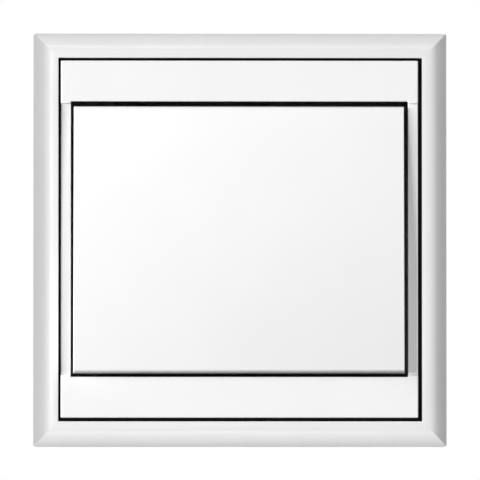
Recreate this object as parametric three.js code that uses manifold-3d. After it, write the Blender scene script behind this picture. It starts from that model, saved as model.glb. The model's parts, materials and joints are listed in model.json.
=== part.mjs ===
// Flush rocker wall switch: cover frame, centre plate and rocker, with the change-over insert behind them.
// Units are millimetres. X runs to the right as seen from the room, Z is up and Y goes into the wall.
// The origin is the centre of the wall plane. Heights count from that plane towards the room, so a
// height h lies at y = -h, and a negative height is inside the wall box.
import * as THREE from 'three';
import { mergeVertices } from 'three/addons/utils/BufferGeometryUtils.js';
import Module from 'manifold-3d';

const wasm = await Module();
wasm.setup();

// ---- driving dimensions: what the room sees ----
const FRAME_SIDE = 81;
const FRAME_OPENING = 71.16;
const FRAME_LAND = 36.9;
const FRAME_SHOULDER_RADIUS = 2.3;
const FRAME_SLOPES = { land: 2, shoulder: 46, rim: 62 };
const FACE_HEIGHT = 9.4;
const FRAME_WALL = 1.6;
const LEDGE_SIDE = 67.6;
const LEDGE_HEIGHTS = [3.5, 4.3];
const PLATE_SIDE = 69.9;
const PLATE_SHIFT = { x: -0.15, z: 0.07 };
const PLATE_SKIRT_FOOT = 4.6;
const APERTURE = { width: 66.0, height: 53.9 };
const APERTURE_LIP_FOOT = 7.6;
const RAIL = { height: 8.7, length: 53.1 };
const ROCKER = { width: 64.56, height: 52.06, depth: 5.5, skin: 1.8, wall: 1.3 };
const ROCKER_EDGE = { long: 0.6, side: 0.12 };
const ROCKER_DRAFT = { long: 1.0, side: 2.0 };
const ROCKER_SHIFT = { x: -0.25, z: -0.27 };
const ROCKER_TILT = 3.5;
const PIVOT_HEIGHT = 5.0;
const ROCKER_FACE = 11.0;

// ---- driving dimensions: the insert ----
const RING = { side: 71, low: 2.0, high: 3.2, flange: 1.2, corner: 8 };
const RING_OPENING = { width: 38.6, height: 47.6 };
const SCREW_SPACING = 60;
const SCREW_SLOT = { width: 3.6, length: 8 };
const CLIP = { x: 20, z: 30.3, width: 6, thickness: 1.4 };
const HOUSING = { width: 37, height: 46, rear: -23, rim: 1.4, wall: 1.5, floor: 1.7 };
const COVER = { low: 1.7, high: 3.2, tabLow: 3.5, tabHigh: 4.5 };
const RIVET = { x: 21.3, z: 15.5 };
const TUBE = { outer: 3.2, bore: 2.2, foot: -4.0, top: 6.9 };
const PLUNGER = { radius: 1.9, top: -1.2, tip: -7.0 };
const LEVER_PIVOT = -8.2;
const LEVER_TILT = 6;
const LEVER = { low: -8.0, high: -7.2, half: 12.3, contact: 10.5 };
const STRIP = { low: -12.6, high: -11.8, foot: -20 };
const FIXED_CONTACT_TOP = -10.6;
const TERMINAL_REACH = { upper: 18.4, lower: 18.4, common: 14.8 };
const WIRE_HOLE = { radius: 1.6, spread: 5.0, inset: 2.3 };
const CLAW = { pivotX: 20.9, pivotHeight: -0.2, strip: 1.2, half: 6.5, foot: 7.5, slope: 25, depth: 15 };
const CLAW_SCREW = { x: 25.2, radius: 1.5, headRadius: 2.5, headLow: 3.35, headHigh: 5.2, tail: -20.5 };
const CLAW_NUT = { inner: 18.9, outer: 27.95, high: -17.44, thickness: 2.0, half: 4 };

// ---- materials ----
const material = (color, roughness, metalness = 0) =>
  new THREE.MeshStandardMaterial({ color, roughness, metalness });
const gloss = material(0xf4f4f2, 0.25);
const grey = material(0xc9cbcb, 0.55);
const dark = material(0x4a4d50, 0.5);
const zinc = material(0xb4b8bb, 0.4, 0.9);
const brass = material(0xb98d4e, 0.35, 0.9);
const copper = material(0xb87350, 0.4, 0.9);
const silver = material(0xd8d8d6, 0.3, 1.0);
const spring = material(0x8f9498, 0.35, 0.9);

// ---- geometry helpers ----
const radians = THREE.MathUtils.degToRad;
const sides = [-1, 1];

const flatShape = (outline) => new THREE.Shape(outline.map(([a, b]) => new THREE.Vector2(a, b)));
const extruded = (outline, depth) =>
  new THREE.ExtrudeGeometry(flatShape(outline), { depth, bevelEnabled: false });

// An outline of [x, z] points, between two heights.
function plate(outline, low, high) {
  return extruded(outline, high - low).rotateX(Math.PI / 2).translate(0, -low, 0);
}

// An outline of [height, z] points, from x0 to x1.
function barX(outline, x0, x1) {
  const turn = new THREE.Matrix4().makeBasis(
    new THREE.Vector3(0, -1, 0), new THREE.Vector3(0, 0, 1), new THREE.Vector3(-1, 0, 0));
  return extruded(outline, x1 - x0).applyMatrix4(turn).translate(x1, 0, 0);
}

// An outline of [x, height] points, from z0 to z1.
function barZ(outline, z0, z1) {
  const turn = new THREE.Matrix4().makeBasis(
    new THREE.Vector3(1, 0, 0), new THREE.Vector3(0, -1, 0), new THREE.Vector3(0, 0, -1));
  return extruded(outline, z1 - z0).applyMatrix4(turn).translate(0, 0, z1);
}

function block([x0, x1], [low, high], [z0, z1]) {
  return new THREE.BoxGeometry(x1 - x0, high - low, z1 - z0)
    .translate((x0 + x1) / 2, -(low + high) / 2, (z0 + z1) / 2);
}

const rodY = (radius, low, high, x, z, facets = 24) =>
  new THREE.CylinderGeometry(radius, radius, high - low, facets).translate(x, -(low + high) / 2, z);
const rodX = (radius, x0, x1, height, z, facets = 24) =>
  new THREE.CylinderGeometry(radius, radius, x1 - x0, facets)
    .rotateZ(Math.PI / 2).translate((x0 + x1) / 2, -height, z);
const rodZ = (radius, x, height, z0, z1, facets = 24) =>
  new THREE.CylinderGeometry(radius, radius, z1 - z0, facets)
    .rotateX(Math.PI / 2).translate(x, -height, (z0 + z1) / 2);

// Turns a closed surface right side out if its triangles wind inwards.
function facingOut(geometry) {
  const p = geometry.attributes.position;
  const index = geometry.index;
  const [a, b, c] = [0, 1, 2].map(() => new THREE.Vector3());
  let volume = 0;
  for (let i = 0; i < index.count; i += 3) {
    a.fromBufferAttribute(p, index.getX(i));
    b.fromBufferAttribute(p, index.getX(i + 1));
    c.fromBufferAttribute(p, index.getX(i + 2));
    volume += a.dot(b.cross(c));
  }
  if (volume < 0) {
    for (let i = 0; i < index.count; i += 3) {
      const second = index.getX(i + 1);
      index.setX(i + 1, index.getX(i + 2));
      index.setX(i + 2, second);
    }
  }
  return geometry;
}

// A profile of [radius, height] points turned about a line along Y.
function turned(profile, facets = 24, start = 0) {
  const points = profile.map(([radius, height]) => new THREE.Vector2(radius, -height));
  return facingOut(new THREE.LatheGeometry(points, facets, start));
}

// A profile of [half side, height] points swept round a square with mitred corners. The square is
// then widened by moving its sides out by widenX and widenZ.
function squareTurned(profile, widenX = 0, widenZ = 0) {
  const corners = profile.map(([half, height]) => [half * Math.SQRT2, height]);
  const geometry = turned(corners, 4, Math.PI / 4);
  const p = geometry.attributes.position;
  for (let i = 0; i < p.count; i += 1) {
    const [x, z] = [p.getX(i), p.getZ(i)];
    const offAxis = Math.hypot(x, z) > 1e-6;
    if (offAxis) p.setXYZ(i, x + Math.sign(x) * widenX, p.getY(i), z + Math.sign(z) * widenZ);
  }
  return geometry;
}

function arc(centre, radius, from, to, steps) {
  return Array.from({ length: steps + 1 }, (_, i) => {
    const angle = radians(from + ((to - from) * i) / steps);
    return [centre[0] + radius * Math.cos(angle), centre[1] + radius * Math.sin(angle)];
  });
}

// Thickens an open line of [a, b] points into the closed outline of a bent strip.
function strip(line, thickness) {
  const points = line.map(([a, b]) => new THREE.Vector2(a, b));
  const normals = points.slice(1).map((end, i) => {
    const along = end.clone().sub(points[i]).normalize();
    return new THREE.Vector2(-along.y, along.x);
  });
  const offset = (side) => points.map((point, i) => {
    const before = normals[Math.max(i - 1, 0)];
    const after = normals[Math.min(i, normals.length - 1)];
    const mitre = before.clone().add(after).normalize();
    const reach = (side * thickness) / 2 / mitre.dot(after);
    return [point.x + mitre.x * reach, point.y + mitre.y * reach];
  });
  return [...offset(1), ...offset(-1).reverse()];
}

// ---- booleans ----
function toSolid(geometry) {
  const bare = geometry.clone();
  bare.deleteAttribute('normal');
  bare.deleteAttribute('uv');
  const merged = mergeVertices(bare, 1e-5);
  return new wasm.Manifold(new wasm.Mesh({
    numProp: 3,
    vertProperties: new Float32Array(merged.attributes.position.array),
    triVerts: new Uint32Array(merged.index.array),
  }));
}

function toGeometry(solid) {
  const mesh = solid.getMesh();
  const geometry = new THREE.BufferGeometry();
  geometry.setAttribute('position', new THREE.BufferAttribute(mesh.vertProperties, 3));
  geometry.setIndex(new THREE.BufferAttribute(mesh.triVerts, 1));
  return geometry;
}

const join = (first, ...others) =>
  toGeometry(others.reduce((sum, other) => sum.add(toSolid(other)), toSolid(first)));
const cut = (first, ...tools) =>
  toGeometry(tools.reduce((rest, tool) => rest.subtract(toSolid(tool)), toSolid(first)));
const overlap = (first, other) => toGeometry(toSolid(first).intersect(toSolid(other)));

// ---- front: cover frame, centre plate, rocker ----
// Front of the frame's section, from the rim over the long curve and the shoulder to the flat land.
function frameCurve() {
  const { land, shoulder, rim } = FRAME_SLOPES;
  const [sine, cosine] = [(angle) => Math.sin(radians(angle)), (angle) => Math.cos(radians(angle))];
  const small = FRAME_SHOULDER_RADIUS;
  const run = FRAME_SIDE / 2 - FRAME_LAND - small * (sine(shoulder) - sine(land));
  const large = run / (sine(rim) - sine(shoulder));
  const start = FACE_HEIGHT - (FRAME_LAND - FRAME_OPENING / 2) * Math.tan(radians(land));
  const near = [FRAME_LAND - small * sine(land), start - small * cosine(land)];
  const far = [near[0] - (large - small) * sine(shoulder), near[1] - (large - small) * cosine(shoulder)];
  return [
    ...arc(far, large, 90 - rim, 90 - shoulder, 3),
    ...arc(near, small, 90 - shoulder, 90 - land, 6).slice(1),
  ];
}

function coverFrame() {
  const side = FRAME_SIDE / 2;
  const opening = FRAME_OPENING / 2;
  const innerBlock = 37.2;
  const cavityRoof = 6.8;
  return squareTurned([
    [side, 0], ...frameCurve(),
    [opening, FACE_HEIGHT], [opening, LEDGE_HEIGHTS[1]],
    [LEDGE_SIDE / 2, LEDGE_HEIGHTS[1]], [LEDGE_SIDE / 2, LEDGE_HEIGHTS[0]],
    [innerBlock, LEDGE_HEIGHTS[0]], [innerBlock, cavityRoof],
    [side - FRAME_WALL, cavityRoof], [side - FRAME_WALL, 0], [side, 0],
  ]);
}

function centrePlate() {
  const half = PLATE_SIDE / 2;
  const [openX, openZ] = [APERTURE.width / 2, APERTURE.height / 2];
  const skin = 1.8;
  const skirt = 1.5;
  const lip = 1.2;
  const undercut = 0.5;
  const square = [-half, half];
  let body = block(square, [PLATE_SKIRT_FOOT, FACE_HEIGHT], square);
  body = cut(body,
    block([-openX, openX], [0, 20], [-openZ, openZ]),
    block([-openX - undercut, openX + undercut], [0, APERTURE_LIP_FOOT], [-openZ, openZ]));
  for (const side of sides) {
    const recess = [side * openX - 0.01 * side, side * (half + 1)].sort((a, b) => a - b);
    const hollow = [side * (openZ + lip), side * (half - skirt)].sort((a, b) => a - b);
    body = cut(body,
      block(recess, [RAIL.height, 20], [-RAIL.length / 2, RAIL.length / 2]),
      block([-openX, openX], [0, FACE_HEIGHT - skin], hollow));
  }
  for (const sx of sides) {
    for (const sz of sides) body = join(body, ...plateLeg(sx, sz));
  }
  return body.translate(PLATE_SHIFT.x, 0, PLATE_SHIFT.z);
}

// One snap leg that grips under the ring, and the stop post beside it that rests on the ring.
function plateLeg(sx, sz) {
  const root = FACE_HEIGHT - 1.7;
  const foot = 0.4;
  const nose = 0.9;
  const outer = CLIP.z + CLIP.thickness / 2;
  const x = [sx * CLIP.x - CLIP.width / 2, sx * CLIP.x + CLIP.width / 2];
  const z = [sz * (CLIP.z - CLIP.thickness / 2), sz * outer].sort((a, b) => a - b);
  const hook = [[foot, sz * outer], [1.6, sz * (outer + nose)], [1.7, sz * (outer - 0.2)],
    [foot, sz * (outer - 0.2)]];
  const post = [sx * 26.5, sx * 29.5].sort((a, b) => a - b);
  const postZ = [sz * 29, sz * 32].sort((a, b) => a - b);
  return [block(x, [foot, root], z), barX(hook, ...x), block(post, [3.5, root], postZ)];
}

// Outline of the cap across one direction: flat face, rounded edges and sides that spread towards the foot.
function capSection(half, edge, draft, foot) {
  const flare = (ROCKER_FACE - foot - edge) * Math.tan(radians(draft));
  const corner = arc([half - edge, ROCKER_FACE - edge], edge, 90, 0, 4);
  const right = [...corner, [half + flare, foot]].map(([along, h]) => [h, along]);
  const left = right.map(([h, along]) => [h, -along]).reverse();
  return [...left, ...right];
}

function rockerCap() {
  const { width, height, depth, skin, wall } = ROCKER;
  const foot = ROCKER_FACE - depth;
  const inside = ROCKER_FACE - skin + 0.2;
  const half = height / 2;
  const lengthwise = barX(capSection(half, ROCKER_EDGE.long, ROCKER_DRAFT.long, foot), -width, width);
  const across = capSection(width / 2, ROCKER_EDGE.side, ROCKER_DRAFT.side, foot).map(([h, x]) => [x, h]);
  const hollow = block([wall - width / 2, width / 2 - wall], [foot - 1, ROCKER_FACE - skin],
    [wall - half, half - wall]);
  const shell = cut(overlap(lengthwise, barZ(across, -half - 1, half + 1)), hollow);
  const ribs = sides.flatMap((s) => [
    block([s * 18 - 0.6, s * 18 + 0.6], [7.7, inside], [-half + 1, half - 1]),
    block([-31.3, 31.3], [7.7, inside], [s * 19 - 0.6, s * 19 + 0.6]),
  ]);
  const hooks = sides.flatMap((s) => {
    const z = [s * 11.4, s * 12.6].sort((a, b) => a - b);
    const nose = [[6.3, s * 11.5], [6.3, s * 10.9], [6.7, s * 10.4], [6.7, s * 11.5]];
    return [block([-4, 4], [6.3, inside], z), barX(nose, -4, 4)];
  });
  const shifted = join(shell, ...ribs).translate(ROCKER_SHIFT.x, 0, ROCKER_SHIFT.z);
  return join(shifted, ...hooks);
}

// ---- rocker mechanism ----
function rockerCarrier() {
  const bridge = block([-10.5, 10.5], [7.0, 8.6], [-11, 11]);
  const cheeks = sides.map((s) => block([s * 9.75 - 0.75, s * 9.75 + 0.75], [3.6, 7.1], [-4, 4]));
  const pins = sides.map((s) => {
    const x = [s * 9.5, s * 13.8].sort((a, b) => a - b);
    return rodX(1.8, ...x, PIVOT_HEIGHT, 0);
  });
  const tube = rodY(TUBE.outer, TUBE.foot, 7.2, 0, 0, 32);
  const body = join(bridge, ...cheeks, ...pins, tube);
  return cut(body, rodY(TUBE.bore, -20, TUBE.top, 0, 0, 32));
}

function plunger() {
  const nose = arc([0, PLUNGER.tip + PLUNGER.radius], PLUNGER.radius, -90, 0, 6);
  const collar = 1.2;
  return turned([...nose, [PLUNGER.radius, PLUNGER.top], [collar, PLUNGER.top],
    [collar, PLUNGER.top + 1.6], [0, PLUNGER.top + 1.6]]);
}

class Helix extends THREE.Curve {
  constructor(radius, turns, low, high) {
    super();
    Object.assign(this, { radius, turns, low, high });
  }

  getPoint(t, target = new THREE.Vector3()) {
    const angle = 2 * Math.PI * this.turns * t;
    return target.set(this.radius * Math.cos(angle),
      -(this.low + (this.high - this.low) * t), this.radius * Math.sin(angle));
  }
}

function plungerSpring() {
  const wire = 0.22;
  const turns = 7;
  const section = arc([0, 0], wire, 0, 360, 6).slice(0, 6);
  return new THREE.ExtrudeGeometry(flatShape(section), {
    steps: turns * 14,
    bevelEnabled: false,
    extrudePath: new Helix(1.7, turns, PLUNGER.top + 0.4, TUBE.top - 0.4),
  });
}

function contactLever() {
  const { low, high, half } = LEVER;
  const middle = (low + high) / 2;
  const body = block([-3, 3], [low, high], [-half, half]);
  const flanges = sides.map((s) =>
    block([s * 2.65 - 0.35, s * 2.65 + 0.35], [middle, high + 1.2], [-7, 7]));
  return join(body, ...flanges);
}

function movingContact(side) {
  const { low } = LEVER;
  return turned([[0, low - 1.1], [1.2, low - 1.1], [1.6, low - 0.9], [1.6, low - 0.25], [0, low - 0.25]])
    .translate(0, 0, side * LEVER.contact);
}

// ---- contacts and terminals ----
// Each terminal is drawn at the upper end of the insert and turned about Y into its own place.
function contactStrip(reach, inner) {
  const { low, high, foot } = STRIP;
  const tongue = block([-3, 3], [low, high], [inner, reach]);
  const shoulder = block([-7.5, 7.5], [low, high], [reach - 2.5, reach + 0.8]);
  const tail = block([-7.5, 7.5], [foot, high], [reach, reach + 0.8]);
  return join(tongue, shoulder, tail);
}

function commonContact() {
  const turnedStrip = contactStrip(TERMINAL_REACH.common, -2.5).rotateY(Math.PI / 2);
  const post = barX([[STRIP.high - 0.2, -0.5], [LEVER_PIVOT - 0.7, -0.5], [LEVER_PIVOT - 0.15, 0],
    [LEVER_PIVOT - 0.7, 0.5], [STRIP.high - 0.2, 0.5]], -2.4, 2.4);
  return join(turnedStrip, post);
}

function fixedContact(side) {
  const foot = STRIP.high + 0.25;
  return turned([[0, foot], [1.8, foot], [1.8, FIXED_CONTACT_TOP - 0.2], [1.4, FIXED_CONTACT_TOP],
    [0, FIXED_CONTACT_TOP]]).translate(0, 0, side * (LEVER.contact - 0.1));
}

// A leaf bent into a hairpin: one leg stands against the housing rib, the other leans on the strip.
function clampSpring(reach) {
  const inner = reach - 4.6;
  const bend = arc([-14.6, inner + 0.9], 0.9, -90, 90, 6);
  const line = [[-19.4, inner], ...bend, [-16.0, inner + 2.2], [-17.6, reach - 0.6]];
  return barX(strip(line, 0.4), -6.8, 6.8);
}

function releaseLever(reach) {
  const z = reach - 3.0;
  const stem = block([-1.7, 1.7], [-22.6, -19.6], [z - 1.2, z + 1.2]);
  const shoulder = block([-2.4, 2.4], [-20.9, -19.6], [z - 1.2, z + 1.2]);
  return join(stem, shoulder);
}

// ---- housing ----
function terminalCuts(reach) {
  const z = reach - WIRE_HOLE.inset;
  const holes = sides.map((s) => rodY(WIRE_HOLE.radius, -30, -20, s * WIRE_HOLE.spread, z));
  const funnels = sides.map((s) =>
    new THREE.CylinderGeometry(1.2, 2.2, 1, 24).translate(s * WIRE_HOLE.spread, -HOUSING.rear - 0.3, z));
  const window = block([-2, 2], [-30, -20], [reach - 4.5, reach - 1.5]);
  return [...holes, ...funnels, window];
}

function baseHousing() {
  const [halfX, halfZ] = [HOUSING.width / 2, HOUSING.height / 2];
  const { wall, rear, rim, floor } = HOUSING;
  const bevel = 2.2;
  const outline = [[-halfX + bevel, -halfZ], [halfX - bevel, -halfZ], [halfX, -halfZ + bevel],
    [halfX, halfZ - bevel], [halfX - bevel, halfZ], [-halfX + bevel, halfZ],
    [-halfX, halfZ - bevel], [-halfX, -halfZ + bevel]];
  const shell = cut(plate(outline, rear, rim),
    block([-halfX + wall, halfX - wall], [rear + floor, 20], [-halfZ + wall, halfZ - wall]));
  const floorHeight = rear + floor - 0.1;
  const posts = [
    ...sides.map((s) => block([-2.5, 2.5], [floorHeight, -12.9], [s * 10.4 - 1.4, s * 10.4 + 1.4])),
    block([-2, 2], [floorHeight, -12.9], [-1.5, 1.5]),
    ...sides.map((s) => block([s * 12 - 1, s * 12 + 1], [floorHeight, -9], [s * 20 - 2, s * 20 + 2])),
  ];
  const latches = sides.map((s) => block([-3.5, 3.5], [-4.2, -1.4], [s * 22.5 - 2, s * 22.5 + 2]));
  const terminals = [
    ...terminalCuts(TERMINAL_REACH.upper),
    ...terminalCuts(TERMINAL_REACH.lower).map((g) => g.rotateY(Math.PI)),
    ...terminalCuts(TERMINAL_REACH.common).map((g) => g.rotateY(Math.PI / 2)),
  ];
  return cut(join(shell, ...posts), ...latches, ...terminals);
}

function baseCover() {
  const { low, high, tabLow, tabHigh } = COVER;
  const parts = [block([-18.5, 18.5], [low, high], [-23, 23])];
  for (const sx of sides) {
    for (const sz of sides) {
      const web = [sx * 15.5, sx * 18.5].sort((a, b) => a - b);
      const tab = [sx * 15.5, sx * 23.4].sort((a, b) => a - b);
      const z = [sz * 11.5, sz * 19.5].sort((a, b) => a - b);
      parts.push(block(web, [high - 0.1, tabHigh], z), block(tab, [tabLow, tabHigh], z));
    }
    parts.push(block([sx * 13 - 1, sx * 13 + 1], [high - 0.1, 7.2], [-4.5, 4.5]));
    const fingerZ = [sx * 20.0, sx * 21.2].sort((a, b) => a - b);
    const nose = [[-3.9, sx * 21.1], [-3.9, sx * 21.3], [-2.0, sx * 22.3], [-1.8, sx * 21.1]];
    parts.push(block([-5, 5], [-4, low + 0.1], fingerZ), barX(nose, -2.9, 2.9));
  }
  const bearings = sides.flatMap((s) => [
    rodX(2.0, s * 13 - 2, s * 13 + 2, PIVOT_HEIGHT, 0),
    block([s * 13 - 2, s * 13 + 2], [PIVOT_HEIGHT, 9], [-1.5, 1.5]),
  ]);
  const rivets = sides.flatMap((sx) => sides.map((sz) => rodY(1.5, 0, 9, sx * RIVET.x, sz * RIVET.z)));
  const throat = block([-3.8, 3.8], [0, 20], [-4.4, 4.4]);
  return cut(join(...parts), ...bearings, ...rivets, throat);
}

// ---- support ring ----
function supportRing() {
  const half = RING.side / 2;
  const { corner, low, high, flange } = RING;
  const outline = [[-half + corner, -half], [half - corner, -half], [half, -half + corner],
    [half, half - corner], [half - corner, half], [-half + corner, half],
    [-half, half - corner], [-half, -half + corner]];
  const run = half - corner - 2;
  const parts = [plate(outline, low, high)];
  for (const s of sides) {
    const edge = [s * (half - flange), s * half].sort((a, b) => a - b);
    parts.push(block(edge, [0, low + 0.1], [-run, run]), block([-run, run], [0, low + 0.1], edge));
    for (const t of sides) {
      const lug = [t * 8.2, t * 9.4].sort((a, b) => a - b);
      const x = [s * (CLAW.pivotX - 1.5), s * (CLAW.pivotX + 1.8)].sort((a, b) => a - b);
      parts.push(block(x, [CLAW.pivotHeight - 1.9, low + 0.1], lug));
    }
  }
  const [openX, openZ] = [RING_OPENING.width / 2, RING_OPENING.height / 2];
  const holes = [block([-openX, openX], [low - 0.2, 20], [-openZ, openZ])];
  for (const s of sides) {
    holes.push(...screwSlot(s * SCREW_SPACING / 2, 0, 'z'), ...screwSlot(0, s * SCREW_SPACING / 2, 'x'));
    holes.push(rodY(1.8, 0, 9, s * CLAW_SCREW.x, 0));
    holes.push(rodZ(1.2, s * CLAW.pivotX, CLAW.pivotHeight, -20, 20));
    for (const t of sides) {
      holes.push(rodY(1.5, 0, 9, s * RIVET.x, t * RIVET.z));
      holes.push(block([s * CLIP.x - 3.6, s * CLIP.x + 3.6], [1, 9], [t * 30.2 - 1.25, t * 30.2 + 1.25]));
    }
  }
  return cut(join(...parts), ...holes);
}

// A slot with round ends for one box screw, running along x or z.
function screwSlot(x, z, along) {
  const reach = (SCREW_SLOT.length - SCREW_SLOT.width) / 2;
  const [dx, dz] = along === 'x' ? [reach, 0] : [0, reach];
  const r = SCREW_SLOT.width / 2;
  const bar = along === 'x'
    ? block([x - reach, x + reach], [1, 9], [z - r, z + r])
    : block([x - r, x + r], [1, 9], [z - reach, z + reach]);
  return [bar, rodY(r, 1, 9, x + dx, z + dz), rodY(r, 1, 9, x - dx, z - dz)];
}

function ringRivet(sx, sz) {
  return turned([[0, 1.1], [1.9, 1.1], [1.9, 1.7], [1.2, 1.7], [1.2, 4.8], [2.1, 4.8], [2.1, 5.2],
    [1.7, 5.5], [0, 5.5]]).translate(sx * RIVET.x, 0, sz * RIVET.z);
}

// ---- claws, drawn for the right-hand side ----
function claw(side) {
  const { pivotX, pivotHeight, strip: thick, half, foot, slope, depth } = CLAW;
  const screwReach = CLAW_SCREW.x - pivotX;
  const fall = Math.tan(radians(slope));
  const bend = [pivotX, pivotHeight - depth + screwReach * fall];
  const tip = [pivotX + foot, bend[1] - foot * fall];
  const leaf = barZ(strip([[pivotX, pivotHeight], bend, tip], thick), -half, half);
  const roll = rodZ(1.0, pivotX, pivotHeight, -9.8, 9.8);
  const slot = block([pivotX - 2, pivotX + screwReach + 2], [-30, pivotHeight - 7], [-1.85, 1.85]);
  const teeth = [-4.5, -1.5, 1.5, 4.5].map((z) =>
    rodY(0.9, -30, 0, tip[0] + 0.6, z, 6));
  const right = cut(join(leaf, roll), slot, ...teeth);
  return side > 0 ? right : right.rotateY(Math.PI);
}

function clawScrew(side) {
  const { radius, headRadius, headLow, headHigh, tail, x } = CLAW_SCREW;
  const shaft = turned([[0, tail], [radius - 0.4, tail], [radius, tail + 0.5], [radius, headLow],
    [headRadius, headLow], [headRadius, headHigh - 0.3], [headRadius - 0.3, headHigh], [0, headHigh]]);
  const drive = sides.map((s) => block([-0.35, 0.35], [headHigh - 1.1, 9], [-1.7, 1.7])
    .rotateY((s * Math.PI) / 4));
  return cut(shaft, ...drive).translate(side * x, 0, 0);
}

function clawNut(side) {
  const { inner, outer, high, thickness, half } = CLAW_NUT;
  const body = block([inner, outer], [high - thickness, high], [-half, half]);
  const right = cut(body, rodY(CLAW_SCREW.radius + 0.1, -40, 0, CLAW_SCREW.x, 0));
  return side > 0 ? right : right.rotateY(Math.PI);
}

// ---- assembly ----
function named(name, geometry, look) {
  geometry.computeVertexNormals();
  const mesh = new THREE.Mesh(geometry, look);
  mesh.name = name;
  return mesh;
}

// A group whose meshes are drawn in their middle position and then tilted about a line along X.
function tilted(height, angle, meshes) {
  const group = new THREE.Group();
  group.position.set(0, -height, 0);
  group.rotation.x = radians(angle);
  for (const mesh of meshes) {
    mesh.geometry.translate(0, height, 0);
    group.add(mesh);
  }
  return group;
}

const group = new THREE.Group();
group.add(
  named('cover_frame', coverFrame(), gloss),
  named('centre_plate', centrePlate(), gloss),
  named('support_ring', supportRing(), zinc),
  named('base_housing', baseHousing(), grey),
  named('base_cover', baseCover(), grey),
  named('common_contact', commonContact(), brass),
  named('contact_strip_upper', contactStrip(TERMINAL_REACH.upper, 8.3), brass),
  named('contact_strip_lower', contactStrip(TERMINAL_REACH.lower, 8.3).rotateY(Math.PI), brass),
  named('fixed_contact_upper', fixedContact(1), silver),
  named('fixed_contact_lower', fixedContact(-1), silver),
);
const terminalTurns = { upper: 0, lower: Math.PI, common: Math.PI / 2 };
for (const [place, turn] of Object.entries(terminalTurns)) {
  const reach = TERMINAL_REACH[place];
  group.add(
    named(`clamp_spring_${place}`, clampSpring(reach).rotateY(turn), spring),
    named(`release_lever_${place}`, releaseLever(reach).rotateY(turn), dark),
  );
}
for (const [place, side] of [['left', -1], ['right', 1]]) {
  group.add(
    named(`claw_${place}`, claw(side), zinc),
    named(`claw_screw_${place}`, clawScrew(side), zinc),
    named(`claw_nut_${place}`, clawNut(side), zinc),
    named(`ring_rivet_upper_${place}`, ringRivet(side, 1), zinc),
    named(`ring_rivet_lower_${place}`, ringRivet(side, -1), zinc),
  );
}
group.add(
  tilted(PIVOT_HEIGHT, -ROCKER_TILT, [
    named('rocker_cap', rockerCap(), gloss),
    named('rocker_carrier', rockerCarrier(), grey),
    named('plunger', plunger(), dark),
    named('plunger_spring', plungerSpring(), spring),
  ]),
  tilted(LEVER_PIVOT, LEVER_TILT, [
    named('contact_lever', contactLever(), copper),
    named('moving_contact_upper', movingContact(1), silver),
    named('moving_contact_lower', movingContact(-1), silver),
  ]),
);

export default group;
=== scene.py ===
"""Looks of the flush rocker wall switch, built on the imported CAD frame. Metres, Z up, wall at y = 0."""
import json
import math

import bmesh
import bpy
from mathutils import Matrix, Vector


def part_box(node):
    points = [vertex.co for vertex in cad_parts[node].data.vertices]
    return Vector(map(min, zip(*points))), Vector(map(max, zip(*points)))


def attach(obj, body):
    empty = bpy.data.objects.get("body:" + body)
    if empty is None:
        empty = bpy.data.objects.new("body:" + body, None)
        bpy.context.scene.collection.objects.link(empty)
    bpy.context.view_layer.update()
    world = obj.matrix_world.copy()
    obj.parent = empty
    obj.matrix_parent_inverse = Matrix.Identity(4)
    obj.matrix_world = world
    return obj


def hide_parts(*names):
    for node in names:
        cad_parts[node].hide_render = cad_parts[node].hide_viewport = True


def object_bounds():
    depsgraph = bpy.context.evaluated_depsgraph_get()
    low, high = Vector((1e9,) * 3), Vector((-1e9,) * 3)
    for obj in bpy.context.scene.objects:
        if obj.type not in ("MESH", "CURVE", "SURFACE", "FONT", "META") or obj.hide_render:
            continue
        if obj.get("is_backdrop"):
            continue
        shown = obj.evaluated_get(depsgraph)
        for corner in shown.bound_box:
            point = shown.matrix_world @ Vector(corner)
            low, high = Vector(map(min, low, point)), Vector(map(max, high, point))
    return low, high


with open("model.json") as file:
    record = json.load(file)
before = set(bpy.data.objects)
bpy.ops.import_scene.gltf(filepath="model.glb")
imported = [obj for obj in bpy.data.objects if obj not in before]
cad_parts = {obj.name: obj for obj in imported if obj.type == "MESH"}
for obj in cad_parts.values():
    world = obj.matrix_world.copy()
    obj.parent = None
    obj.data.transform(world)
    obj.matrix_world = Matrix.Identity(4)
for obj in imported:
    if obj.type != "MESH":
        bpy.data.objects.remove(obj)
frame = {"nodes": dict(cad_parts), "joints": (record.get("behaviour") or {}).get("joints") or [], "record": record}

MM = 0.001
CAD_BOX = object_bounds()
SCENE = bpy.context.scene
JOINTS = {joint["name"]: joint for joint in frame["joints"]}


# ---- named sizes that the frame's boxes don't give ----
FRAME_LOW, FRAME_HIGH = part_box("cover_frame")
FRAME_HALF = FRAME_HIGH.x
FACE_HEIGHT = -FRAME_LOW.y
FRAME_OPENING = 35.58 * MM
LAND_HALF = 36.9 * MM
SHOULDER_RADIUS = 2.3 * MM
RIM_RADIUS = 0.3 * MM
RIM_SLOPE, SHOULDER_SLOPE, LAND_SLOPE = (math.radians(angle) for angle in (62, 46, 2))
LEDGE_HALF = 33.8 * MM
LEDGE_HEIGHTS = (3.5 * MM, 4.3 * MM)
INNER_BLOCK = 37.2 * MM
CAVITY_ROOF = 6.8 * MM
FRAME_WALL = 1.6 * MM
OUTER_CHAMFER = 0.15 * MM
OPENING_LIP = 0.12 * MM
FOOT_CHAMFER = 0.1 * MM
CORNER_RADIUS = 0.45 * MM
CORNER_NARROWING = 0.5
SMALLEST_CORNER = 0.04 * MM
# Painted shade in the slots: inside the opening's edge, between these two heights and below them, the white
# plastic's colour is mixed toward the dark tone below.
SLOT_SHADE = (8.6 * MM, 7.7 * MM)
SLOT_REACH = (0.02 * MM, 0.1 * MM)
PAINTED_SLOT_SHADE_TONE = (0.03, 0.03, 0.03)

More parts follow.
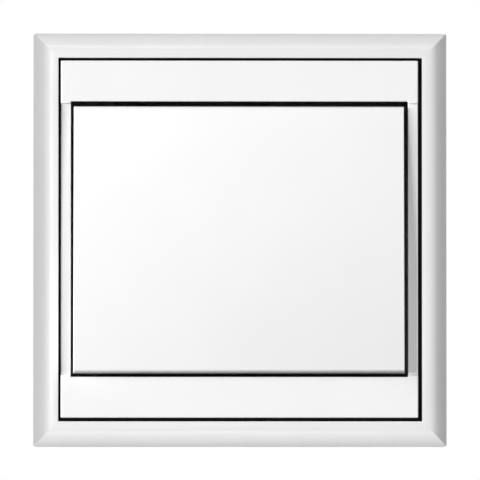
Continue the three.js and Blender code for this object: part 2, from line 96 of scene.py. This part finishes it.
PIVOT = Vector(JOINTS["rocker_hinge"]["pos_m"])
ROCKER_TILT = math.radians(JOINTS["rocker_hinge"]["range_deg"][1] / 2)
ROCKER_HALF = (32.28 * MM, 26.03 * MM)
ROCKER_CENTRE = Vector((-0.25 * MM, -11.0 * MM, -0.27 * MM))
ROCKER_EDGE = (0.12 * MM, 0.6 * MM)
ROCKER_DRAFT = (math.radians(2.0), math.radians(1.0))
ROCKER_CORNER = 0.12 * MM
CORNER_STEPS = 3
EDGE_STEPS = 10
LIP_STEPS = 4
ROCKER_DEPTH = 5.5 * MM
ROCKER_SKIN = 1.8 * MM
ROCKER_WALL = 1.3 * MM

THREAD_PITCH = 0.5 * MM
THREAD_DEPTH = 0.2 * MM
WAVE_RATE = 20  # radians that a wave texture of scale 1 runs through in each metre


# ---- mesh helpers ----
def mesh_object(name, bm, body, material, sharp=40):
    """Turns a bmesh into a smooth-shaded piece that rides on a body."""
    bmesh.ops.recalc_face_normals(bm, faces=bm.faces)
    mesh = bpy.data.meshes.new(name)
    bm.to_mesh(mesh)
    bm.free()
    for polygon in mesh.polygons:
        polygon.use_smooth = len(polygon.vertices) == 4
    mesh.set_sharp_from_angle(angle=math.radians(sharp))
    mesh.materials.append(material)
    piece = bpy.data.objects.new(name, mesh)
    SCENE.collection.objects.link(piece)
    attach(piece, body)
    return piece


def rounded_loop(half_x, half_z, radius, height, steps=4):
    """Points round a rectangle with rounded corners, at one height in front of the wall."""
    points = []
    for turn, (sx, sz) in enumerate(((1, 1), (-1, 1), (-1, -1), (1, -1))):
        centre = Vector((sx * (half_x - radius), -height, sz * (half_z - radius)))
        for step in range(steps + 1):
            angle = math.radians(90 * (turn + step / steps))
            points.append(centre + radius * Vector((math.cos(angle), 0, math.sin(angle))))
    return points


def skin_loops(bm, loops, closed=False, cap_ends=False):
    """Joins loops of equal length with quads, and closes the ends on request."""
    rings = [[bm.verts.new(point) for point in loop] for loop in loops]
    pairs = list(zip(rings, rings[1:])) + ([(rings[-1], rings[0])] if closed else [])
    for first, second in pairs:
        for i in range(len(first)):
            j = (i + 1) % len(first)
            bm.faces.new((first[i], first[j], second[j], second[i]))
    if cap_ends:
        bm.faces.new(rings[0])
        bm.faces.new(rings[-1])


def arc(centre, radius, start, end, steps):
    """Points on a circle in a profile's plane, as (half side, height)."""
    for step in range(steps + 1):
        angle = start + (end - start) * step / steps
        yield centre[0] + radius * math.cos(angle), centre[1] + radius * math.sin(angle)


# ---- materials ----
# features of the noise textures per metre
MOULD_FLOW = 45
MOULD_WAVES = 90
GLOSS_PATCHES = 130
MOULD_GRAIN = 5200
METAL_STAINS = 260
METAL_DENTS = 500
METAL_STREAKS = 900
METAL_GRAIN = 2600
FLOOR_MOTTLE = 3


def new_material(name, colour, roughness, metallic=0.0):
    """A Principled material with its constant values set, and its nodes ready for more."""
    material = bpy.data.materials.new(name)
    material.use_nodes = True
    shader = material.node_tree.nodes["Principled BSDF"]
    shader.inputs["Base Color"].default_value = (*colour, 1)
    shader.inputs["Roughness"].default_value = roughness
    shader.inputs["Metallic"].default_value = metallic
    return material, shader


def noise(material, scale, detail=3.0, stretch=(1, 1, 1)):
    """A noise texture in object coordinates; scale is in features per metre."""
    nodes, links = material.node_tree.nodes, material.node_tree.links
    coordinates = nodes.new("ShaderNodeTexCoord")
    mapping = nodes.new("ShaderNodeMapping")
    mapping.inputs["Scale"].default_value = stretch
    texture = nodes.new("ShaderNodeTexNoise")
    texture.inputs["Scale"].default_value = scale
    texture.inputs["Detail"].default_value = detail
    links.new(coordinates.outputs["Object"], mapping.inputs["Vector"])
    links.new(mapping.outputs["Vector"], texture.inputs["Vector"])
    return texture.outputs["Fac"]


def ranged(material, value, low, high, start=0.3, end=0.7):
    """Maps a noise value between two numbers."""
    node = material.node_tree.nodes.new("ShaderNodeMapRange")
    node.inputs["From Min"].default_value = start
    node.inputs["From Max"].default_value = end
    node.inputs["To Min"].default_value = low
    node.inputs["To Max"].default_value = high
    material.node_tree.links.new(value, node.inputs["Value"])
    return node.outputs["Result"]


def tinted(material, shader, value, colours, stops=(0.35, 0.65)):
    """Colours the surface between two tones by a noise value, and returns that colour."""
    ramp = material.node_tree.nodes.new("ShaderNodeValToRGB")
    for element, stop, colour in zip(ramp.color_ramp.elements, stops, colours):
        element.position = stop
        element.color = (*colour, 1)
    material.node_tree.links.new(value, ramp.inputs["Fac"])
    material.node_tree.links.new(ramp.outputs["Color"], shader.inputs["Base Color"])
    return ramp.outputs["Color"]


def math_node(material, operation, *values):
    """A maths node fed by sockets or plain numbers."""
    node = material.node_tree.nodes.new("ShaderNodeMath")
    node.operation = operation
    for socket, value in zip(node.inputs, values):
        if isinstance(value, (int, float)):
            socket.default_value = value
        else:
            material.node_tree.links.new(value, socket)
    return node.outputs["Value"]


def paint_slot_shade(material, shader, colour):
    """Paints shade onto the walls of the slots inside the frame's opening: their colour goes toward a dark tone
    and their specular falls away with depth.
    """
    nodes, links = material.node_tree.nodes, material.node_tree.links
    split = nodes.new("ShaderNodeSeparateXYZ")
    links.new(nodes.new("ShaderNodeTexCoord").outputs["Object"], split.inputs["Vector"])
    across = math_node(material, "MAXIMUM", *(
        math_node(material, "ABSOLUTE", split.outputs[axis]) for axis in "XZ"))
    inside = ranged(material, across, 1, 0, *(FRAME_OPENING + reach for reach in SLOT_REACH))
    deep = ranged(material, split.outputs["Y"], 0, 1, -SLOT_SHADE[0], -SLOT_SHADE[1])
    mix = nodes.new("ShaderNodeMix")
    mix.data_type = "RGBA"
    factor, start, end = (mix.inputs[i] for i in (0, 6, 7))
    # Painted shade: this mask mixes the base colour toward the dark tone and takes the specular away.
    shade = math_node(material, "MULTIPLY", inside, deep)
    links.new(shade, factor)
    links.new(ranged(material, shade, 0.5, 0, 0, 1), shader.inputs["Specular IOR Level"])
    links.new(colour, start)
    end.default_value = (*PAINTED_SLOT_SHADE_TONE, 1)
    links.new(mix.outputs[2], shader.inputs["Base Color"])


def bumped(material, shader, layers):
    """Stacks bump layers, each a (value, strength, depth in metres)."""
    previous = None
    for value, strength, depth in layers:
        bump = material.node_tree.nodes.new("ShaderNodeBump")
        bump.inputs["Strength"].default_value = strength
        bump.inputs["Distance"].default_value = depth
        material.node_tree.links.new(value, bump.inputs["Height"])
        if previous is not None:
            material.node_tree.links.new(previous, bump.inputs["Normal"])
        previous = bump.outputs["Normal"]
    material.node_tree.links.new(previous, shader.inputs["Normal"])


def moulded_plastic(name, tones, roughness, grain, slots=False):
    """Injection-moulded plastic: a fine grain, faint flow in colour and gloss, slight waviness; with slots set,
    also painted shade down the slots of the frame's opening.
    """
    material, shader = new_material(name, tones[0], roughness[0])
    colour = tinted(material, shader, noise(material, MOULD_FLOW), tones)
    # Optional painted shade on the slot walls inside the frame's opening.
    if slots:
        paint_slot_shade(material, shader, colour)
    material.node_tree.links.new(
        ranged(material, noise(material, GLOSS_PATCHES, 4), *roughness), shader.inputs["Roughness"])
    bumped(material, shader, [
        (noise(material, MOULD_WAVES, 1), 0.08, 0.02 * MM),
        (noise(material, MOULD_GRAIN, 2), grain, 0.01 * MM),
    ])
    return material


def thread(material):
    """A height that rises and falls once in each pitch of a screw that lies along Y."""
    nodes, links = material.node_tree.nodes, material.node_tree.links
    wave = nodes.new("ShaderNodeTexWave")
    wave.wave_type, wave.bands_direction, wave.wave_profile = "BANDS", "Y", "TRI"
    wave.inputs["Scale"].default_value = 2 * math.pi / (WAVE_RATE * THREAD_PITCH)
    wave.inputs["Distortion"].default_value = 0
    links.new(nodes.new("ShaderNodeTexCoord").outputs["Object"], wave.inputs["Vector"])
    return wave.outputs["Fac"]


def plated_metal(name, tones, roughness, stretch=(1, 1, 1), threaded=False):
    """Sheet or wire metal: drawn or rolled grain, small stains and a soft sheen."""
    material, shader = new_material(name, tones[0], roughness[0], metallic=1.0)
    tinted(material, shader, noise(material, METAL_STAINS, 5), tones, (0.3, 0.7))
    material.node_tree.links.new(
        ranged(material, noise(material, METAL_STREAKS, 4, stretch), *roughness), shader.inputs["Roughness"])
    bumped(material, shader, [
        (noise(material, METAL_GRAIN, 3, stretch), 0.25, 0.01 * MM),
        (noise(material, METAL_DENTS, 2), 0.1, 0.02 * MM),
    ] + ([(thread(material), 1.0, THREAD_DEPTH)] if threaded else []))
    return material


def make_materials():
    """One material for each slot of the record, and a threaded kind of the steel for the screws."""
    return {
        # The white plastic carries painted shade on the walls of the slots.
        "white_plastic": moulded_plastic(
            "white_plastic", ((0.86, 0.86, 0.86), (0.875, 0.875, 0.875)), (0.30, 0.38), 0.10, slots=True),
        "grey_plastic": moulded_plastic(
            "grey_plastic", ((0.52, 0.53, 0.53), (0.57, 0.58, 0.58)), (0.5, 0.65), 0.35),
        "dark_plastic": moulded_plastic(
            "dark_plastic", ((0.05, 0.055, 0.06), (0.07, 0.075, 0.08)), (0.4, 0.55), 0.3),
        "zinc_steel": plated_metal(
            "zinc_steel", ((0.58, 0.60, 0.63), (0.68, 0.69, 0.70)), (0.28, 0.42)),
        "threaded_steel": plated_metal(
            "threaded_steel", ((0.58, 0.60, 0.63), (0.68, 0.69, 0.70)), (0.28, 0.42), threaded=True),
        "spring_steel": plated_metal(
            "spring_steel", ((0.38, 0.39, 0.40), (0.46, 0.47, 0.48)), (0.22, 0.34), (1, 1, 6)),
        "brass_strip": plated_metal(
            "brass_strip", ((0.60, 0.43, 0.18), (0.68, 0.51, 0.24)), (0.25, 0.38), (1, 6, 1)),
        "copper_strip": plated_metal(
            "copper_strip", ((0.62, 0.30, 0.19), (0.70, 0.37, 0.25)), (0.25, 0.38), (1, 1, 6)),
        "silver_contact": plated_metal(
            "silver_contact", ((0.78, 0.78, 0.76), (0.86, 0.86, 0.84)), (0.18, 0.30)),
    }


# ---- front mouldings ----
def frame_curve():
    """The front of the frame's section from its rim to the flat land: rim, long curve and shoulder."""
    rim_run = RIM_RADIUS * (1 - math.sin(RIM_SLOPE))
    shoulder_run = SHOULDER_RADIUS * (math.sin(SHOULDER_SLOPE) - math.sin(LAND_SLOPE))
    run = FRAME_HALF - LAND_HALF - rim_run - shoulder_run
    radius = run / (math.sin(RIM_SLOPE) - math.sin(SHOULDER_SLOPE))
    height = FACE_HEIGHT - (LAND_HALF - FRAME_OPENING) * math.tan(LAND_SLOPE)
    half, curve = LAND_HALF, []
    for size, flat, steep, steps in ((SHOULDER_RADIUS, LAND_SLOPE, SHOULDER_SLOPE, 8),
                                     (radius, SHOULDER_SLOPE, RIM_SLOPE, 14),
                                     (RIM_RADIUS, RIM_SLOPE, math.pi / 2, 5)):
        centre = (half - size * math.sin(flat), height - size * math.cos(flat))
        points = list(arc(centre, size, math.pi / 2 - flat, math.pi / 2 - steep, steps))
        curve += points if not curve else points[1:]
        half, height = points[-1]
    return reversed(curve)


def frame_profile():
    """Closed section of the cover frame as (half side, height), from the back edge outwards."""
    lip = (FRAME_OPENING + OPENING_LIP, FACE_HEIGHT - OPENING_LIP)
    yield FRAME_HALF - OUTER_CHAMFER, 0
    yield FRAME_HALF, OUTER_CHAMFER
    yield from frame_curve()
    yield from arc(lip, OPENING_LIP, math.pi / 2, math.pi, LIP_STEPS)
    yield FRAME_OPENING, LEDGE_HEIGHTS[1]
    yield LEDGE_HALF, LEDGE_HEIGHTS[1]
    yield LEDGE_HALF, LEDGE_HEIGHTS[0]
    yield INNER_BLOCK, LEDGE_HEIGHTS[0]
    yield INNER_BLOCK, CAVITY_ROOF
    yield FRAME_HALF - FRAME_WALL, CAVITY_ROOF
    yield FRAME_HALF - FRAME_WALL, FOOT_CHAMFER
    yield FRAME_HALF - FRAME_WALL + FOOT_CHAMFER, 0


def cover_frame(material):
    """The cover frame, with mitred corners that are only just rounded off outside."""
    bm = bmesh.new()
    loops = []
    for half, height in frame_profile():
        radius = max(CORNER_RADIUS - (FRAME_HALF - half) * CORNER_NARROWING, SMALLEST_CORNER)
        loops.append(rounded_loop(half, half, radius, height))
    skin_loops(bm, loops, closed=True)
    piece = mesh_object("frame_moulding", bm, "insert", material, sharp=25)
    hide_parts("cover_frame")


def rocker_reach(depth):
    """Half width and half height of the rocker at a depth behind its face."""
    for half, edge, draft in zip(ROCKER_HALF, ROCKER_EDGE, ROCKER_DRAFT):
        if depth < edge:
            yield half - edge + math.sqrt(edge ** 2 - (edge - depth) ** 2)
        else:
            yield half + (depth - edge) * math.tan(draft)


def rocker_cap(material):
    """The rocker's shell: long edges well rounded, side edges almost sharp, open at the back."""
    bm = bmesh.new()
    turns = [math.pi / 2 * step / EDGE_STEPS for step in range(EDGE_STEPS + 1)]
    depths = [ROCKER_EDGE[1] * (1 - math.cos(turn)) for turn in turns] + [ROCKER_DEPTH]
    loops = [rounded_loop(*rocker_reach(depth), ROCKER_CORNER, -depth, CORNER_STEPS) for depth in depths]
    hollow = [half - ROCKER_WALL for half in ROCKER_HALF]
    for depth in (ROCKER_DEPTH, ROCKER_SKIN):
        loops.append(rounded_loop(*hollow, ROCKER_CORNER, -depth, CORNER_STEPS))
    skin_loops(bm, loops, cap_ends=True)
    place = (Matrix.Translation(PIVOT) @ Matrix.Rotation(-ROCKER_TILT, 4, "X")
             @ Matrix.Translation(ROCKER_CENTRE - PIVOT))
    bmesh.ops.transform(bm, matrix=place, verts=bm.verts)
    piece = mesh_object("rocker_moulding", bm, "rocker", material)
    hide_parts("rocker_cap")


# ---- carried-over CAD nodes ----
WELD_DISTANCE = 0.001 * MM
FLAT_ANGLE = math.radians(0.5)
EDGE_ANGLE = math.radians(35)
LARGEST_FACES_LEAD = 100


def finish_node(node, material, edge):
    """Gives a CAD node its material, clean flat faces and small rounded edges."""
    piece = frame["nodes"][node]
    piece.data.materials.clear()
    piece.data.materials.append(material)
    for polygon in piece.data.polygons:
        polygon.use_smooth = True
    weld = piece.modifiers.new("weld", "WELD")
    weld.merge_threshold = WELD_DISTANCE
    flat = piece.modifiers.new("flat_faces", "DECIMATE")
    flat.decimate_type = "DISSOLVE"
    flat.angle_limit = FLAT_ANGLE
    bevel = piece.modifiers.new("rounded_edges", "BEVEL")
    bevel.width = edge
    bevel.segments = 2
    bevel.limit_method = "ANGLE"
    bevel.angle_limit = EDGE_ANGLE
    bevel.use_clamp_overlap = True
    even = piece.modifiers.new("even_faces", "WEIGHTED_NORMAL")
    even.weight = LARGEST_FACES_LEAD


EDGE_WIDTHS = {"centre_plate": 0.22 * MM, "base_housing": 0.2 * MM, "base_cover": 0.15 * MM,
               "rocker_carrier": 0.15 * MM, "support_ring": 0.12 * MM}
THIN_EDGE = 0.06 * MM
OWN_LOOKS = {"claw_screw_left": "threaded_steel", "claw_screw_right": "threaded_steel"}


def finish_nodes(materials, replaced):
    for entry in frame["record"]["subparts"]:
        node = entry["node"]
        if node not in replaced:
            look = OWN_LOOKS.get(node, entry["material_slot"])
            finish_node(node, materials[look], EDGE_WIDTHS.get(node, THIN_EDGE))


# ---- stage, lights and camera ----
VIEW_DISTANCE = 1.5
VIEW_WIDTH = 94.1 * MM
VIEW_AZIMUTH = -0.9
VIEW_ELEVATION = -2.0
TARGET_DEPTH = 0.64
SENSOR_WIDTH = 36
LIGHTS = {
    # name: (lit pieces, azimuth, elevation, distance, width, height, power)
    "key": ("insert", -52, 6, 1.8, 0.6, 0.6, 21.3),
    "left": ("insert", -78, 4, 1.8, 1.0, 1.2, 50.0),
    "right": ("insert", 35, 3, 2.0, 0.8, 1.5, 21.6),
    "frame_key": ("frame", -40, 0, 0.9, 0.25, 0.25, 0.3),
    "frame_front": ("frame", -12, 2, 1.9, 0.4, 0.5, 12.9),
    "frame_top": ("frame", 0, 68, 0.9, 0.9, 0.5, 1.6),
    "frame_upper": ("frame", -8, 45, 1.2, 0.7, 0.5, 5.1),
    "frame_low": ("frame", -8, -45, 1.2, 0.7, 0.5, 6.2),
    "rim_top": ("frame", 0, 100, 0.9, 0.5, 0.5, 1.0),
    "rim_low": ("frame", 0, -80, 0.8, 0.5, 0.5, 2.2),
    "rim_left": ("frame", -132, 0, 0.9, 0.5, 0.5, 1.3),
    "rim_right": ("frame", 132, 0, 0.9, 0.5, 0.5, 1.3),
    "rear": ("works", 180, 20, 1.3, 2.4, 2.0, 20.0),
    "rear_frame": ("frame", 180, 10, 1.2, 0.7, 0.7, 7.0),
    "works_left": ("works", -115, 25, 1.2, 0.5, 0.5, 7.0),
    "works_right": ("works", 115, 25, 1.2, 0.5, 0.5, 7.0),
    "works_low": ("works", 180, -70, 1.2, 0.5, 0.5, 3.0),
    "floor": ("floor", 0, 90, 3.5, 6.0, 6.0, 700.0),
}
LIT_BY = {"frame_moulding": "frame", "cover_frame": "frame", "rocker_moulding": "insert",
          "rocker_cap": "insert", "centre_plate": "insert", "floor": "floor"}
FLOOR_LEVEL = -0.9
FLOOR_RADIUS = 3.0


def direction(azimuth, elevation):
    """Unit vector from the object towards a viewer at that azimuth and elevation, in degrees."""
    a, e = math.radians(azimuth), math.radians(elevation)
    return Vector((math.sin(a) * math.cos(e), -math.cos(a) * math.cos(e), math.sin(e)))


def aim(thing, towards, distance, target):
    """Puts a light or camera at a distance from a target, looking at it."""
    thing.location = target + towards * distance
    thing.rotation_euler = (-towards).to_track_quat("-Z", "Y").to_euler()


def make_lights():
    """Soft boxes: the frame, the insert, the works behind them and the floor each have their own."""
    groups = {name: bpy.data.collections.new("lit_" + name) for name in set(LIT_BY.values()) | {"works"}}
    for piece in [item for item in SCENE.objects if item.type == "MESH"]:
        groups[LIT_BY.get(piece.name, "works")].objects.link(piece)
    for name, (lit, azimuth, elevation, distance, width, height, power) in LIGHTS.items():
        data = bpy.data.lights.new(name, "AREA")
        data.shape = "RECTANGLE"
        data.size, data.size_y = width, height
        data.energy = power
        light = bpy.data.objects.new(name, data)
        light.visible_camera = False
        light.light_linking.receiver_collection = groups[lit]
        SCENE.collection.objects.link(light)
        aim(light, direction(azimuth, elevation), distance, Vector((0, -FACE_HEIGHT, 0)))


def make_world():
    """White behind the object for the camera, and no light from it on anything else."""
    world = bpy.data.worlds.new("studio")
    world.use_nodes = True
    SCENE.world = world
    nodes, links = world.node_tree.nodes, world.node_tree.links
    nodes.clear()
    background, output = nodes.new("ShaderNodeBackground"), nodes.new("ShaderNodeOutputWorld")
    background.inputs["Color"].default_value = (1, 1, 1, 1)
    links.new(nodes.new("ShaderNodeLightPath").outputs["Is Camera Ray"], background.inputs["Strength"])
    links.new(background.outputs["Background"], output.inputs["Surface"])


def seen_from_above(material, shader):
    """Makes the back of a surface transparent, so that a view from below isn't blocked."""
    nodes, links = material.node_tree.nodes, material.node_tree.links
    mix = nodes.new("ShaderNodeMixShader")
    links.new(nodes.new("ShaderNodeNewGeometry").outputs["Backfacing"], mix.inputs["Fac"])
    links.new(shader.outputs["BSDF"], mix.inputs[1])
    links.new(nodes.new("ShaderNodeBsdfTransparent").outputs["BSDF"], mix.inputs[2])
    links.new(mix.outputs["Shader"], nodes["Material Output"].inputs["Surface"])


def make_floor():
    """A plain pale floor well below the switch."""
    bm = bmesh.new()
    bmesh.ops.create_circle(bm, cap_ends=True, segments=96, radius=FLOOR_RADIUS,
                            matrix=Matrix.Translation((0, 0, FLOOR_LEVEL)))
    mesh = bpy.data.meshes.new("floor")
    bm.to_mesh(mesh)
    bm.free()
    floor = bpy.data.objects.new("floor", mesh)
    material, shader = new_material("floor", (0.86, 0.86, 0.86), 0.7)
    tinted(material, shader, noise(material, FLOOR_MOTTLE), ((0.85, 0.85, 0.85), (0.87, 0.87, 0.87)))
    seen_from_above(material, shader)
    mesh.materials.append(material)
    floor.visible_diffuse = floor.visible_glossy = False
    SCENE.collection.objects.link(floor)
    floor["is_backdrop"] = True


def make_camera():
    data = bpy.data.cameras.new("camera")
    camera = bpy.data.objects.new("camera", data)
    SCENE.collection.objects.link(camera)
    SCENE.camera = camera
    data.sensor_width = SENSOR_WIDTH
    data.lens = SENSOR_WIDTH * VIEW_DISTANCE / VIEW_WIDTH
    data.clip_start, data.clip_end = 0.1, 20
    target = Vector((0, -FACE_HEIGHT * TARGET_DEPTH, 0))
    aim(camera, direction(VIEW_AZIMUTH, VIEW_ELEVATION), VIEW_DISTANCE, target)


# ---- assembly ----
MATERIALS = make_materials()
cover_frame(MATERIALS["white_plastic"])
rocker_cap(MATERIALS["white_plastic"])
finish_nodes(MATERIALS, replaced=("cover_frame", "rocker_cap"))
make_floor()
make_world()
make_lights()
make_camera()
SCENE.view_settings.view_transform = "Standard"

boxes = {"cad": CAD_BOX, "visual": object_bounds()}
{name: [list(corner) for corner in box] for name, box in boxes.items()}
